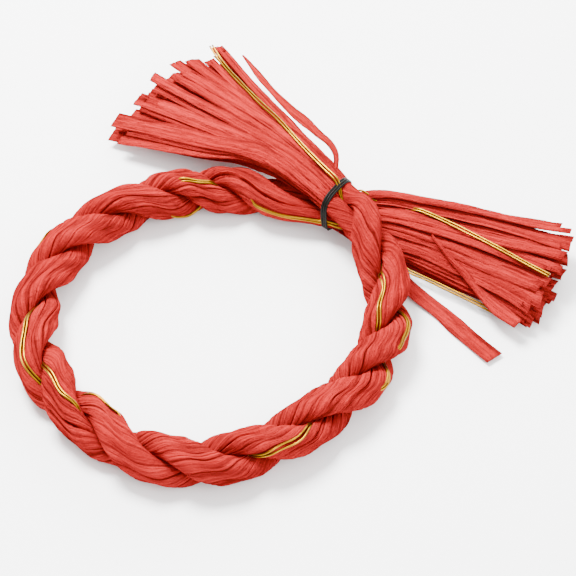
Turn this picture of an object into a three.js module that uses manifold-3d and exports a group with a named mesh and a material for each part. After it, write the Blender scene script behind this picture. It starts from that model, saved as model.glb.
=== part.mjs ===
// Twisted paper-straw ring with two tasselled ends, lying on its underside.
// Two strands of red paper straw are laid into one rope. The rope goes once round, its ends cross,
// and a wire binds the crossing. Beyond the wire the straws of each strand fan out as cut ribbons.
// A pair of gold cords lies in a fold of each strand and runs out along the tassels.
// Millimetres and degrees, +Z up. The rope's travel is clockwise seen from above.

import * as THREE from 'three';
import Module from 'manifold-3d';

const wasm = await Module();
wasm.setup();

// The ring in plan. Each pair gives degrees travelled past the tie, and how far the rope strays outward.
const ringRadius = 66;
const ringStray = [
  [0, 7.2], [10, 5.4], [20, 3.6], [40, 3.2], [60, 1], [80, -1.4], [100, -2.6], [120, -0.5], [140, 2.4],
  [160, 1.6], [180, -0.8], [220, -0.4], [260, -1.5], [300, -2.3], [330, -1], [345, -0.3], [352, 2.4], [360, 7.2],
];
const tieAngle = 47.5;

// Height of the rope's middle above the floor. The starting end crosses over the finishing end.
const ropeHeight = 9.9;
const crossingLift = 7.4;
const crossingSink = 1.0;
const climb = [[0, 1], [3, 1.02], [10, 1.34], [18, 1.3], [28, 0.75], [42, 0.12], [56, 0]];

// The lay: whole turns of the two strands round each other, and how far they run ahead of an even lay.
const layTurns = 7;
const layLead = [
  [0, 0], [42, 22], [85, -4], [114, 25], [163, 7], [191, 17], [244, -16], [296, -40], [338, -100], [360, 0],
];
const stepsPerLay = 11;

// One strand's section in the open rope and at the tie: half depth, half breadth and offset of its middle.
const openStrand = { depth: 5.3, breadth: 7.6, offset: 5.2, parting: 0.92 };
const boundStrand = { depth: 3.95, breadth: 4.0, offset: 4.1, parting: 0.15 };
const nestling = 0.4;
const sectionRoundness = 2.3;
const boundLength = 6;
const swellLength = 24;

// Folds of the straw bundle: ridges and creases that run along the strand.
const foldsPerStrand = 6;
const foldDepth = 0.55;

// A gold pair lies in one fold of each strand. Each list gives the fold's own slow turn on the way round.
const goldHalfWidth = 0.9;
const goldHalfThickness = 0.42;
const goldSeat = 2.15;
const goldSunkInside = 1.0;
const goldSunkAtTie = 0.85;
const goldRise = 1.7;
const goldLeaves = 2.2;
const goldClear = 5;
const goldDroop = 2;
const goldReach = 0.05;
const goldTurn = [
  [[0, 45], [42, 344], [72, 466], [191, 1090], [306, 1321], [345, 1350], [360, 1365]],
  [[0, -262], [54, 79], [114, 416], [177, 676], [218, 757], [251, 781], [318, 1055], [360, 1150]],
];

// The wire that binds the crossing
const wireDiameter = 0.85;
const wireTurns = 2.5;
const wirePitch = 1.0;
const wireClearance = 0.6;
const wireSquareness = 5;
const wireHeading = -35;

// Cut straws of the tassels. Heights are those of a tassel's middle above its own bound end, by share of length.
const straw = { width: 6.4, rootWidth: 5.2, thickness: 1.15, rootThickness: 0.52, inset: 6.5, air: 0.1 };
const strawRoll = 9;
const rootLength = 11;
const tassels = {
  right: {
    nearHeading: -35, farHeading: -8.6, length: 90, straws: 11, over: false, crossedRuns: [2, 60],
    nearHeight: [[0, 0], [0.18, -3.2], [0.4, -2.4], [1, -1.5]],
    farHeight: [[0, 0], [0.12, 0.6], [0.3, 3.4], [1, 2.6]],
    stack: [[0, 0.62], [0.15, 0.68], [0.3, 1.0], [1, 1.45]],
  },
  left: {
    nearHeading: 154.5, farHeading: 118.5, length: 96, straws: 10, over: true, crossedRuns: [-90, -2],
    nearHeight: [[0, 0], [0.15, 2.2], [0.5, 1.2], [1, -8]],
    farHeight: [[0, 0], [0.15, 1.6], [0.5, 0.5], [1, -6]],
    stack: [[0, 0.64], [0.15, 0.7], [0.3, 0.95], [1, 1.3]],
  },
};
const restGap = 0.4;
const goldRoom = 1.3;
const layRoom = 1.2;

// Two straws that stray: one bows out beside the left tassel, one lies on the floor past the front rope
const bowedStraw = { bendHeading: 92, bendShare: 0.42, tipHeading: 113, length: 92, tipHeight: 14 };
const floorStraw = { root: [69, 26, 11], bend: [82, 11, 0.2], tip: [108.5, -14.5, 1.2], rootThickness: 1.0 };

// Where the gold pairs end beyond the tie: heading and length of each run out along a tassel
const goldEnds = {
  left: [{ heading: 120.6, length: 99 }, null],
  right: [{ heading: -38.5, length: 84, besideHeight: 3 }, { heading: -21.5, length: 89 }],
};

// Small helpers for angles, easing and lists of hand-set values
const rad = THREE.MathUtils.degToRad;
const lerp = THREE.MathUtils.lerp;
const clamp = THREE.MathUtils.clamp;
const smooth = (share) => THREE.MathUtils.smoothstep(share, 0, 1);
const scatter = (index, salt) => ((index * 0.618034 + salt * 0.37) % 1) * 2 - 1;

function through(pairs, at) {
  const last = pairs.length - 1;
  if (at <= pairs[0][0]) return pairs[0][1];
  if (at >= pairs[last][0]) return pairs[last][1];
  let i = 0;
  while (at > pairs[i + 1][0]) i += 1;
  const slope = (k) => {
    const before = Math.max(k - 1, 0);
    const after = Math.min(k + 1, last);
    return (pairs[after][1] - pairs[before][1]) / (pairs[after][0] - pairs[before][0]);
  };
  const span = pairs[i + 1][0] - pairs[i][0];
  const t = (at - pairs[i][0]) / span;
  const rise = pairs[i + 1][1] - pairs[i][1];
  const bend = (slope(i) * span - rise) * (1 - t) - (slope(i + 1) * span - rise) * t;
  return pairs[i][1] + t * rise + t * (1 - t) * bend;
}

// The rope's middle line, sampled evenly in plan angle, with its travelled length
function ringPoint(travel) {
  const radius = ringRadius + through(ringStray, travel);
  const angle = rad(tieAngle - travel);
  const climbed = crossingLift * through(climb, travel);
  const sunk = crossingSink * smooth((travel - 325) / 35);
  return new THREE.Vector3(radius * Math.cos(angle), radius * Math.sin(angle), ropeHeight + climbed - sunk);
}
const ringSamples = [];
for (let travel = 0; travel <= 360; travel += 0.5) {
  const point = ringPoint(travel);
  const before = ringSamples[ringSamples.length - 1];
  const run = before ? before.run + Math.hypot(point.x - before.point.x, point.y - before.point.y) : 0;
  ringSamples.push({ travel, point, run });
}
const ropeLength = ringSamples[ringSamples.length - 1].run;

function ropeFrame(run) {
  const inside = clamp(run, 0, ropeLength);
  let i = 0;
  while (i < ringSamples.length - 2 && ringSamples[i + 1].run < inside) i += 1;
  const a = ringSamples[i];
  const b = ringSamples[i + 1];
  const t = (inside - a.run) / (b.run - a.run);
  const along = new THREE.Vector3(b.point.x - a.point.x, b.point.y - a.point.y, 0).normalize();
  const middle = a.point.clone().lerp(b.point, t).addScaledVector(along, run - inside);
  const outward = new THREE.Vector3(-along.y, along.x, 0);
  return { middle, along, outward, travel: lerp(a.travel, b.travel, t) };
}
const startFrame = ropeFrame(0);
const finishFrame = ropeFrame(ropeLength);
const tieCentre = startFrame.middle.clone().add(finishFrame.middle).multiplyScalar(0.5);

// How open the rope is: 0 where the wire binds it, 1 in the free ring
function openness(run) {
  const fromTie = Math.min(run, ropeLength - run);
  return smooth((fromTie - boundLength) / swellLength);
}
function strandSection(run, strand = 0) {
  const open = openness(run);
  const mix = (key) => lerp(boundStrand[key], openStrand[key], open);
  const section = { depth: mix('depth'), breadth: mix('breadth'), offset: mix('offset'), parting: mix('parting') };
  return { ...section, open, nestle: nestling * open * (strand === 0 ? 1 : -1) };
}
function layAngle(run) {
  const free = clamp((run - boundLength) / (ropeLength - 2 * boundLength), 0, 1);
  return 270 - 360 * layTurns * free + through(layLead, 360 * free);
}
function onSection(frame, angle, distance, from) {
  const a = rad(angle);
  return from.clone().addScaledVector(frame.outward, distance * Math.sin(a)).setZ(from.z + distance * Math.cos(a));
}

// Distance from a strand's middle to its skin, in a direction given from the strand's outer side
function skinDistance(section, direction) {
  const c = Math.cos(rad(direction));
  const s = Math.sin(rad(direction));
  const m = sectionRoundness;
  const round = (Math.abs(c / section.depth) ** m + Math.abs(s / section.breadth) ** m) ** (-1 / m);
  if (c >= 0) return round;
  const inward = section.offset - section.parting + section.nestle * smooth((-c - 0.7) / 0.3);
  return Math.min(round + Math.max(section.nestle, 0), inward / -c);
}

// Places of the steps along a strand, through both tassel roots
const steps = Math.round(layTurns * stepsPerLay);
const stepRuns = [-rootLength, -goldLeaves];
for (let i = 0; i <= steps; i += 1) stepRuns.push((ropeLength * i) / steps);
stepRuns.push(ropeLength + goldLeaves, ropeLength + rootLength);

// One step of a strand: its ring of corners, and the seat of the gold pair in its first fold
function strandStep(strand, run) {
  const frame = ropeFrame(run);
  const section = strandSection(run, strand);
  const lay = layAngle(run) + 180 * strand;
  const centre = onSection(frame, lay, section.offset, frame.middle);
  const fold = through(goldTurn[strand], frame.travel);
  const corners = [];
  const columns = 2 * foldsPerStrand;
  for (let j = 0; j < columns; j += 1) {
    const angle = fold + (360 * j) / columns;
    const crease = j % 2 === 0 ? foldDepth : 0;
    const corner = onSection(frame, angle, skinDistance(section, angle - lay) - crease, centre);
    corners.push(corner.setZ(Math.max(corner.z, 0)));
  }
  const hidden = smooth((-Math.cos(rad(fold - lay)) + 0.2) / 0.7);
  const sunk = Math.max(goldSunkInside * hidden, goldSunkAtTie * (1 - section.open));
  const reach = skinDistance(section, fold - lay) - sunk;
  const gold = onSection(frame, fold, reach, centre);
  const lift = Math.max(0, goldHalfWidth - gold.z);
  gold.z += lift;
  corners[0] = onSection(frame, fold, reach - goldSeat, centre);
  corners[0].z += lift;
  return { corners, gold, frame, fold, centre };
}

// A closed skin over rings of corners, with its faces turned outward
function closedSkin(rings) {
  const n = rings[0].length;
  const points = rings.flat();
  const faces = [];
  for (let i = 0; i + 1 < rings.length; i += 1) {
    for (let j = 0; j < n; j += 1) {
      const next = (j + 1) % n;
      const [a, b, c, d] = [i * n + j, i * n + next, (i + 1) * n + next, (i + 1) * n + j];
      faces.push([a, b, d], [b, c, d]);
    }
  }
  const middleOf = (ring) => ring.reduce((sum, p) => sum.add(p), new THREE.Vector3()).divideScalar(n);
  const first = points.push(middleOf(rings[0])) - 1;
  const last = points.push(middleOf(rings[rings.length - 1])) - 1;
  const lastRing = (rings.length - 1) * n;
  for (let j = 0; j < n; j += 1) {
    const next = (j + 1) % n;
    faces.push([first, next, j], [last, lastRing + j, lastRing + next]);
  }
  const volume = faces.reduce((sum, f) => {
    const [a, b, c] = f.map((k) => points[k]);
    return sum + a.dot(b.clone().cross(c));
  }, 0);
  const turned = volume < 0 ? faces.map(([a, b, c]) => [a, c, b]) : faces;
  return { points, faces: turned };
}

// Joining solids, and keeping the outer shell alone where straws close off small hollows between them
function solidOf(skin) {
  const vertProperties = new Float32Array(skin.points.flatMap((p) => [p.x, p.y, p.z]));
  const triVerts = new Uint32Array(skin.faces.flat());
  return new wasm.Manifold(new wasm.Mesh({ numProp: 3, vertProperties, triVerts }));
}
function outerShell(mesh) {
  const owner = Array.from({ length: mesh.vertProperties.length / mesh.numProp }, (_, i) => i);
  const find = (i) => {
    let root = i;
    while (owner[root] !== root) root = owner[root];
    owner[i] = root;
    return root;
  };
  const tri = mesh.triVerts;
  for (let f = 0; f < tri.length; f += 3) {
    owner[find(tri[f + 1])] = find(tri[f]);
    owner[find(tri[f + 2])] = find(tri[f]);
  }
  const at = (i) => new THREE.Vector3().fromArray(mesh.vertProperties, i * mesh.numProp);
  const volumes = new Map();
  for (let f = 0; f < tri.length; f += 3) {
    const [a, b, c] = [at(tri[f]), at(tri[f + 1]), at(tri[f + 2])];
    const shell = find(tri[f]);
    volumes.set(shell, (volumes.get(shell) ?? 0) + a.dot(b.cross(c)));
  }
  const kept = [];
  for (let f = 0; f < tri.length; f += 3) {
    if (volumes.get(find(tri[f])) > 0) kept.push(tri[f], tri[f + 1], tri[f + 2]);
  }
  return kept;
}
function geometryOf(solid) {
  const mesh = solid.getMesh();
  const geometry = new THREE.BufferGeometry();
  geometry.setAttribute('position', new THREE.BufferAttribute(new Float32Array(mesh.vertProperties), mesh.numProp));
  geometry.setIndex(outerShell(mesh));
  geometry.computeVertexNormals();
  return geometry;
}

// Where the rope lies over or under a point: its middle height, give or take the rope's own half height there
function ropeOver(point, tassel) {
  const [fromRun, toRun] = tassel.crossedRuns.map((run) => (tassel.over ? ropeLength + run : run));
  let best = null;
  for (const sample of ringSamples) {
    if (sample.run < fromRun || sample.run > toRun) continue;
    const away = Math.hypot(point.x - sample.point.x, point.y - sample.point.y);
    if (!best || away < best.away) best = { away, sample };
  }
  const section = strandSection(best.sample.run);
  const lay = rad(layAngle(best.sample.run));
  const [c, s] = [Math.abs(Math.cos(lay)), Math.abs(Math.sin(lay))];
  const halfHigh = section.offset * c + Math.hypot(section.depth * c, section.breadth * s) + layRoom * section.open;
  const halfWide = section.offset * s + Math.hypot(section.depth * s, section.breadth * c) + layRoom;
  if (best.away >= halfWide) return null;
  const height = halfHigh * Math.sqrt(1 - (best.away / halfWide) ** 2);
  return { top: best.sample.point.z + height, under: best.sample.point.z - height };
}

// The way of one straw out of the tie in plan: a bow from its root past a bend to its tip
function towards(from, heading, distance) {
  const a = rad(heading);
  return from.clone().add(new THREE.Vector3(Math.cos(a), Math.sin(a), 0).multiplyScalar(distance));
}
function bow(root, bend, tip) {
  return (share) => {
    const p = root.clone().multiplyScalar((1 - share) ** 2);
    return p.addScaledVector(bend, 2 * share * (1 - share)).addScaledVector(tip, share ** 2);
  };
}

// One straw as rings of four corners. It keeps its level in the stack, clear of the floor and of the crossing rope.
const strawShares = [0, 0.07, 0.14, 0.23, 0.36, 0.62, 1];
function strawRings(path, level, tassel) {
  return strawShares.map((share) => {
    const p = path(share);
    const ahead = path(share + 0.01).sub(path(share - 0.01)).setZ(0).normalize();
    const flat = new THREE.Vector3(-ahead.y, ahead.x, 0);
    const settled = smooth(share * 4);
    const half = lerp(straw.rootWidth, straw.width, settled) / 2;
    const thickness = lerp(straw.rootThickness, straw.thickness, smooth((share - 0.3) / 0.5));
    const tilt = rad(level.roll * smooth((share - 0.3) / 0.7));
    const pitch = thickness + straw.air;
    const reaches = [-1, 0, 1].map((k) => p.clone().addScaledVector(flat, k * (half + 1)));
    const crossed = reaches.map((q) => ropeOver(q, tassel)).filter((found) => found);
    for (const rope of crossed) {
      if (tassel.over) p.z = Math.max(p.z, rope.top + restGap + pitch * (level.below + 0.5));
      else p.z = Math.min(p.z, rope.under - restGap - goldRoom - pitch * (level.above + 0.5));
    }
    p.z = Math.max(p.z, Math.sin(Math.abs(tilt)) * half + pitch * (level.below + 0.5));
    const edge = flat.clone().multiplyScalar(Math.cos(tilt)).setZ(Math.sin(tilt)).multiplyScalar(half);
    const face = flat.clone().multiplyScalar(-Math.sin(tilt)).setZ(Math.cos(tilt)).multiplyScalar(thickness / 2);
    const corners = [[1, 1], [-1, 1], [-1, -1], [1, -1]];
    return corners.map(([e, f]) => p.clone().addScaledVector(edge, e).addScaledVector(face, f));
  });
}

// All straws of one tassel that belong to one strand, as rings of corners
function tasselStraws(name, strand) {
  const tassel = tassels[name];
  const frame = name === 'left' ? startFrame : finishFrame;
  const out = name === 'left' ? -1 : 1;
  const sign = strand === 0 ? -1 : 1;
  const middleHeading = (tassel.nearHeading + tassel.farHeading) / 2;
  const clearAngle = THREE.MathUtils.radToDeg((straw.width / 2 + restGap) / tassel.length);
  const inner = middleHeading + clearAngle * Math.sign(tassel.farHeading - tassel.nearHeading) * sign;
  const outer = sign < 0 ? tassel.nearHeading : tassel.farHeading;
  const root = frame.middle.clone().addScaledVector(frame.outward, sign * boundStrand.offset);
  root.addScaledVector(frame.along, out * straw.inset);
  const rows = [];
  for (let i = 0; i < tassel.straws; i += 1) {
    const column = ((i * 4 + strand) % tassel.straws) / (tassel.straws - 1);
    const side = sign * lerp(0.15, 1, column);
    const reach = tassel.length * (1 + 0.03 * scatter(i, strand + 1));
    const tip = towards(frame.middle, lerp(inner, outer, column), reach);
    const bend = root.clone().addScaledVector(frame.along, out * reach * 0.3);
    bend.addScaledVector(frame.outward, sign * 1.5 * column);
    const plan = bow(root, bend, tip);
    const level = { below: i, above: tassel.straws - 1 - i, roll: strawRoll * scatter(i, strand + 4) };
    const path = (share) => {
      const rise = lerp(through(tassel.nearHeight, share), through(tassel.farHeight, share), (side + 1) / 2);
      const stacked = (i - (tassel.straws - 1) / 2) * through(tassel.stack, share);
      return plan(share).setZ(frame.middle.z + rise + stacked);
    };
    rows.push(strawRings(path, level, tassel));
  }
  return rows;
}

// The two straying straws
function bowedRings() {
  const tassel = tassels.left;
  const root = startFrame.middle.clone().addScaledVector(startFrame.outward, boundStrand.offset);
  root.addScaledVector(startFrame.along, -straw.inset);
  const bend = towards(root, bowedStraw.bendHeading, bowedStraw.bendShare * bowedStraw.length);
  const tip = towards(startFrame.middle, bowedStraw.tipHeading, bowedStraw.length).setZ(bowedStraw.tipHeight);
  const level = { below: tassel.straws, above: 0, roll: strawRoll };
  return strawRings(bow(root, bend, tip), level, tassel);
}
function floorRings() {
  const [root, bend, tip] = [floorStraw.root, floorStraw.bend, floorStraw.tip].map((p) => new THREE.Vector3(...p));
  const path = bow(root, bend, tip);
  return [0, 0.15, 0.35, 0.6, 0.8, 1].map((share) => {
    const p = path(share);
    const ahead = path(share + 0.01).sub(path(share - 0.01)).normalize();
    const edge = new THREE.Vector3(-ahead.y, ahead.x, 0).normalize().multiplyScalar(straw.width / 2);
    const face = new THREE.Vector3().crossVectors(ahead, edge).normalize().multiplyScalar(floorStraw.rootThickness / 2);
    const corners = [[1, 1], [-1, 1], [-1, -1], [1, -1]];
    return corners.map(([e, f]) => {
      const corner = p.clone().addScaledVector(edge, e).addScaledVector(face, f);
      return corner.setZ(Math.max(corner.z, f < 0 ? 0 : floorStraw.rootThickness));
    });
  });
}
function strandStraws(strand) {
  const rows = [...tasselStraws('left', strand), ...tasselStraws('right', strand)];
  if (strand === 0) rows.push(floorRings());
  else rows.push(bowedRings());
  return rows;
}
const straws = [strandStraws(0), strandStraws(1)];

function buildStrand(strand) {
  const rope = solidOf(closedSkin(stepRuns.map((run) => strandStep(strand, run).corners)));
  return geometryOf(straws[strand].reduce((whole, rings) => whole.add(solidOf(closedSkin(rings))), rope));
}

// The highest straw or bound end under a point of a tassel
function heapTop(point, frame) {
  const offset = point.clone().sub(frame.middle);
  const onEnd = Math.abs(offset.dot(frame.along)) < rootLength + 1;
  const overEnd = Math.abs(offset.dot(frame.outward)) < boundStrand.offset + boundStrand.depth + goldHalfWidth;
  let top = onEnd && overEnd ? frame.middle.z + boundStrand.breadth : -Infinity;
  for (const rings of straws.flat()) {
    for (let i = 0; i + 1 < rings.length; i += 1) {
      const ends = [rings[i], rings[i + 1]].map((ring) => ring[0].clone().add(ring[1]).multiplyScalar(0.5));
      const half = rings[i + 1][0].distanceTo(rings[i + 1][1]) / 2 + goldHalfWidth;
      const segment = new THREE.Line3(ends[0].clone().setZ(0), ends[1].clone().setZ(0));
      const t = segment.closestPointToPointParameter(point.clone().setZ(0), true);
      const away = segment.at(t, new THREE.Vector3()).distanceTo(point.clone().setZ(0));
      if (away < half) top = Math.max(top, lerp(ends[0].z, ends[1].z, t) + straw.thickness * 0.3);
    }
  }
  return top;
}

// The gold pair of one strand: along its fold, and out over the straws of the tassels
function goldRing(middle, width, depth) {
  const corners = [[1, 0], [0.5, 1], [-0.5, 1], [-1, 0], [-0.5, -1], [0.5, -1]];
  return corners.map(([w, h]) => {
    const corner = middle.clone().addScaledVector(width, w * goldHalfWidth);
    return corner.addScaledVector(depth, h * goldHalfThickness);
  });
}
function foldDirections(frame, fold) {
  const a = rad(fold);
  const depth = frame.outward.clone().multiplyScalar(Math.sin(a)).setZ(Math.cos(a));
  const width = frame.outward.clone().multiplyScalar(Math.cos(a)).setZ(-Math.sin(a));
  return { depth, width };
}
function goldTail(strand, name) {
  const end = goldEnds[name][strand];
  if (!end) return [];
  const out = name === 'left' ? -1 : 1;
  const { gold: seat, frame, fold } = strandStep(strand, name === 'left' ? -goldClear : ropeLength + goldClear);
  const { depth, width } = foldDirections(frame, fold);
  const root = seat.clone().addScaledVector(depth, goldRise);
  const bend = root.clone().addScaledVector(frame.along, out * end.length * 0.3);
  const plan = bow(root, bend, towards(frame.middle, end.heading, end.length));
  let height = root.z;
  const lane = [0.09, 0.14, 0.2, 0.28, 0.38, 0.5, 0.65, 0.8, 1].map((share) => {
    const p = plan(share);
    const ahead = plan(share + 0.01).sub(plan(share - 0.01)).setZ(0).normalize();
    if (end.besideHeight) p.z = lerp(root.z, end.besideHeight, smooth(share * 3));
    else {
      const heap = Math.max(...[-goldReach, 0, goldReach].map((k) => heapTop(plan(share + k), frame)));
      p.z = Math.max(heap + goldHalfThickness + restGap, height - goldDroop);
    }
    height = p.z;
    const flat = new THREE.Vector3(-ahead.y, ahead.x, 0).multiplyScalar(out);
    return goldRing(p, flat, new THREE.Vector3(0, 0, 1));
  });
  return [goldRing(root, width, depth), ...lane];
}
function buildGold(strand) {
  const rings = stepRuns.slice(1, -1).map((run) => {
    const { gold: middle, frame, fold } = strandStep(strand, run);
    const { depth, width } = foldDirections(frame, fold);
    return goldRing(middle, width, depth);
  });
  const whole = [...goldTail(strand, 'left').reverse(), ...rings, ...goldTail(strand, 'right')];
  return geometryOf(solidOf(closedSkin(whole)));
}

// The binding wire: a coil wound round the four bound strands
function buildWire() {
  const across = new THREE.Vector3(-Math.sin(rad(wireHeading)), Math.cos(rad(wireHeading)), 0);
  const along = new THREE.Vector3(Math.cos(rad(wireHeading)), Math.sin(rad(wireHeading)), 0);
  const radius = wireDiameter / 2;
  const crossAngle = Math.abs(startFrame.along.angleTo(along));
  const halfWide = (boundStrand.offset + boundStrand.depth) / Math.cos(crossAngle) + wireClearance + radius;
  const halfHigh = (startFrame.middle.z - finishFrame.middle.z) / 2 + boundStrand.breadth + wireClearance + radius;
  const perTurn = 18;
  const count = Math.round(perTurn * wireTurns);
  const rings = [];
  const place = (i) => {
    const a = (2 * Math.PI * i) / perTurn + 1;
    const m = wireSquareness;
    const r = (Math.abs(Math.cos(a) / halfWide) ** m + Math.abs(Math.sin(a) / halfHigh) ** m) ** (-1 / m);
    const shift = (i / perTurn - wireTurns / 2) * wirePitch;
    const p = tieCentre.clone().addScaledVector(across, r * Math.cos(a)).addScaledVector(along, shift);
    return p.setZ(tieCentre.z + r * Math.sin(a));
  };
  for (let i = 0; i <= count; i += 1) {
    const p = place(i);
    const ahead = place(i + 0.5).sub(place(i - 0.5)).normalize();
    const out = p.clone().sub(tieCentre);
    out.addScaledVector(ahead, -out.dot(ahead)).addScaledVector(along, -out.dot(along)).normalize();
    const flank = new THREE.Vector3().crossVectors(ahead, out).normalize();
    const ring = [];
    for (let k = 0; k < 6; k += 1) {
      const a = (Math.PI * k) / 3;
      const corner = p.clone().addScaledVector(out, radius * Math.cos(a));
      ring.push(corner.addScaledVector(flank, radius * Math.sin(a)));
    }
    rings.push(ring);
  }
  return geometryOf(solidOf(closedSkin(rings)));
}

// Finishes
const paper = new THREE.MeshStandardMaterial({ color: 0xd7413a, roughness: 0.62, metalness: 0 });
const gold = new THREE.MeshStandardMaterial({ color: 0xe6b83c, roughness: 0.25, metalness: 1 });
const wire = new THREE.MeshStandardMaterial({ color: 0x46413b, roughness: 0.5, metalness: 0.3 });

const ornament = new THREE.Group();
function addPiece(name, geometry, material) {
  const mesh = new THREE.Mesh(geometry, material);
  mesh.name = name;
  ornament.add(mesh);
}
addPiece('straw_strand_1', buildStrand(0), paper);
addPiece('straw_strand_2', buildStrand(1), paper);
addPiece('gold_cord_1', buildGold(0), gold);
addPiece('gold_cord_2', buildGold(1), gold);
addPiece('tie_wire', buildWire(), wire);

// The origin is the middle of the part's box, on the floor
const box = new THREE.Box3().setFromObject(ornament);
ornament.position.set(-(box.min.x + box.max.x) / 2, -(box.min.y + box.max.y) / 2, 0);

export default ornament;
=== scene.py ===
"""Dresses the straw ring: rope strands of crumpled paper, fanned tassels, gold threads and the binding wire."""

import math

import bpy
import numpy as np
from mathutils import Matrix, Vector


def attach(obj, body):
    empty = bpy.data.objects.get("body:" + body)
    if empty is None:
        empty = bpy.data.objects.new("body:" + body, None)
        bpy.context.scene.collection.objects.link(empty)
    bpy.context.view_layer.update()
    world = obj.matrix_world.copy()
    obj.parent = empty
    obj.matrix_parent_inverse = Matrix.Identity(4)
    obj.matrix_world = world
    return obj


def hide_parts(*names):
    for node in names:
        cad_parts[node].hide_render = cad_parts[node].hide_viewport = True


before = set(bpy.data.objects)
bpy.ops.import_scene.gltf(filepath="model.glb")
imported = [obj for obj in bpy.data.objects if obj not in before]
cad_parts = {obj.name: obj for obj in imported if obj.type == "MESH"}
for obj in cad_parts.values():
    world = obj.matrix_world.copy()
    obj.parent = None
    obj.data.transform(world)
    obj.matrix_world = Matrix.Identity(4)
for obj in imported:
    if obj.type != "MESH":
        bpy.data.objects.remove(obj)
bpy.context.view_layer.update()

bl_info = {
    "name": "Twisted Straw Ring",
    "version": (1, 0, 0),
    "blender": (4, 5, 0),
    "location": "View3D > Sidebar > Straw Ring",
    "description": "A ring of twisted paper straw with gold threads, a binding wire and two cut tassels",
    "category": "Add Mesh",
}

# Lengths in this file are millimetres until a mesh is made, and angles are degrees.
MM = 0.001
one_radian = 57.3
straight_up = np.array([0, 0, 1.0])

# Steps that spread repeated things evenly, by index, by salt and by wave
golden_share = 0.618034
salt_step = 0.37
wave_step = 0.271

ring_centre = (-32.441, -32.502, 0.0)

# The ring in plan: degrees travelled past the tie, and how far the rope strays outward there
ring_radius = 66
ring_stray = [
    (0, 7.2), (10, 5.4), (20, 3.6), (40, 3.2), (60, 1), (80, -1.4), (100, -2.6), (120, -0.5), (140, 2.4),
    (160, 1.6), (180, -0.8), (220, -0.4), (260, -1.5), (300, -2.3), (330, -1), (345, -0.3), (352, 2.4), (360, 7.2),
]
tie_angle = 47.5

# The rope's middle over the floor, and how it climbs over itself at the tie, by degrees travelled
rope_height = 9.3
crossing_lift = 7.4
crossing_sink = 1.0
climb = [(0, 1), (3, 1.02), (10, 1.34), (18, 1.3), (28, 0.75), (42, 0.12), (56, 0)]

# The lay: turns of the two strands round each other, and how far they run ahead of an even lay
lay_turns = 7
lay_lead = [
    (0, 0), (42, 22), (85, -4), (114, 25), (163, 7), (191, 17), (244, -16), (296, -40), (338, -100), (360, 0),
]

# A strand's section in the open rope and bound at the tie: half sizes, how far its middle lies from the rope's, and
# the gap between the strands
open_strand = {"depth": 4.65, "breadth": 6.9, "offset": 4.65, "parting": -0.5}
bound_strand = {"depth": 3.95, "breadth": 4.0, "offset": 4.1, "parting": -0.1}

# How far strand 1 bulges into strand 2 where they touch, and the shape of the section
nestling = 0.4
nestle_from = 0.7
section_roundness = 2.3

# Along the rope: bound at the tie, swelling to its open section, and running on under the tassels
bound_length = 6
swell_length = 24
root_length = 11

# The skin of a strand: its mesh, its ribbons in degrees round it, and the heights of their folds
skin_columns = 180
skin_spacing = 0.86
skin_sunk = 0.3
skin_floor = 0.15
skin_floor_ease = 0.6
skin_bare = -3.0
skin_half = {"mean": 22, "scatter": 5, "wander": 3}
skin_place = {"scatter": 0.3, "wander": 9}
skin_level = 0.2
skin_crown = 0.45
skin_fold = {"scatter": 0.22, "wander": 0.15}
skin_second_fold = 0.1
skin_tilt = 0.25
skin_lowered = 0.35

# Its pleats: how many round the strand, millimetres each along it, seed, and for thin lines their sharpness
coarse_pleats = (20, 34, 3, 14)
medium_pleats = (40, 20, 7, 10)
fine_pleats = (90, 9, 11)
calm_patches = (6, 40, 17)
pleat_depth = {"coarse": 0.2, "medium": 0.08, "fine": 0.05}
# The painted shade that darkens the coarse and the medium pleat lines
pleat_line_shade = {"coarse": 1.1, "medium": 0.75}

# Its short deep creases: least value and how much more, or mean and scatter
crease_length = (7, 14)
crease_half = (0.34, 0.12)
crease_depth = (0.5, 0.3)
crease_wander = 9

# The gold pair's fold in each strand: degrees travelled, and its turn from straight up towards the outside
gold_turn = [
    [(0, 45), (28, 262), (35, 293), (42, 330), (54, 374), (66, 388), (72, 414), (80, 455), (191, 1090), (306, 1330),
     (345, 1350), (360, 1365)],
    [(0, -262), (44, 2), (54, 38), (63, 88), (114, 416), (177, 676), (218, 757), (251, 781), (318, 1092),
     (360, 1150)],
]

# How the pair lies in its fold: depths, its seat in the skin, where its run starts and stops, and its threads
gold_sunk_at_tie = 0.1
gold_rise = 0.6
gold_lowest = 0.9
gold_seat_half = 1.15
gold_seat_depth = 0.6
gold_step = 0.9
gold_from_tie = 6.5
gold_past_tie = 1.5
gold_gap = 1.4
gold_crossed = 0.06
thread_sides = 10

# Where the gold shows between the straws, in degrees travelled; elsewhere they close over it
gold_shown = [
    [(-5, 4), (25, 58), (64, 76), (180, 208), (301, 320), (334, 365)],
    [(44, 63), (101, 124), (168, 186), (195, 239), (249, 263), (306, 320)],
]
gold_cover = 1.9
gold_cover_ease = 3.5

# Where a pair spreads apart: degrees travelled, how far to either side, and by how much
gold_spread = [[(33, 8, 0.6)], [(113, 7, 0.42), (215, 12, 0.15)]]

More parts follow.
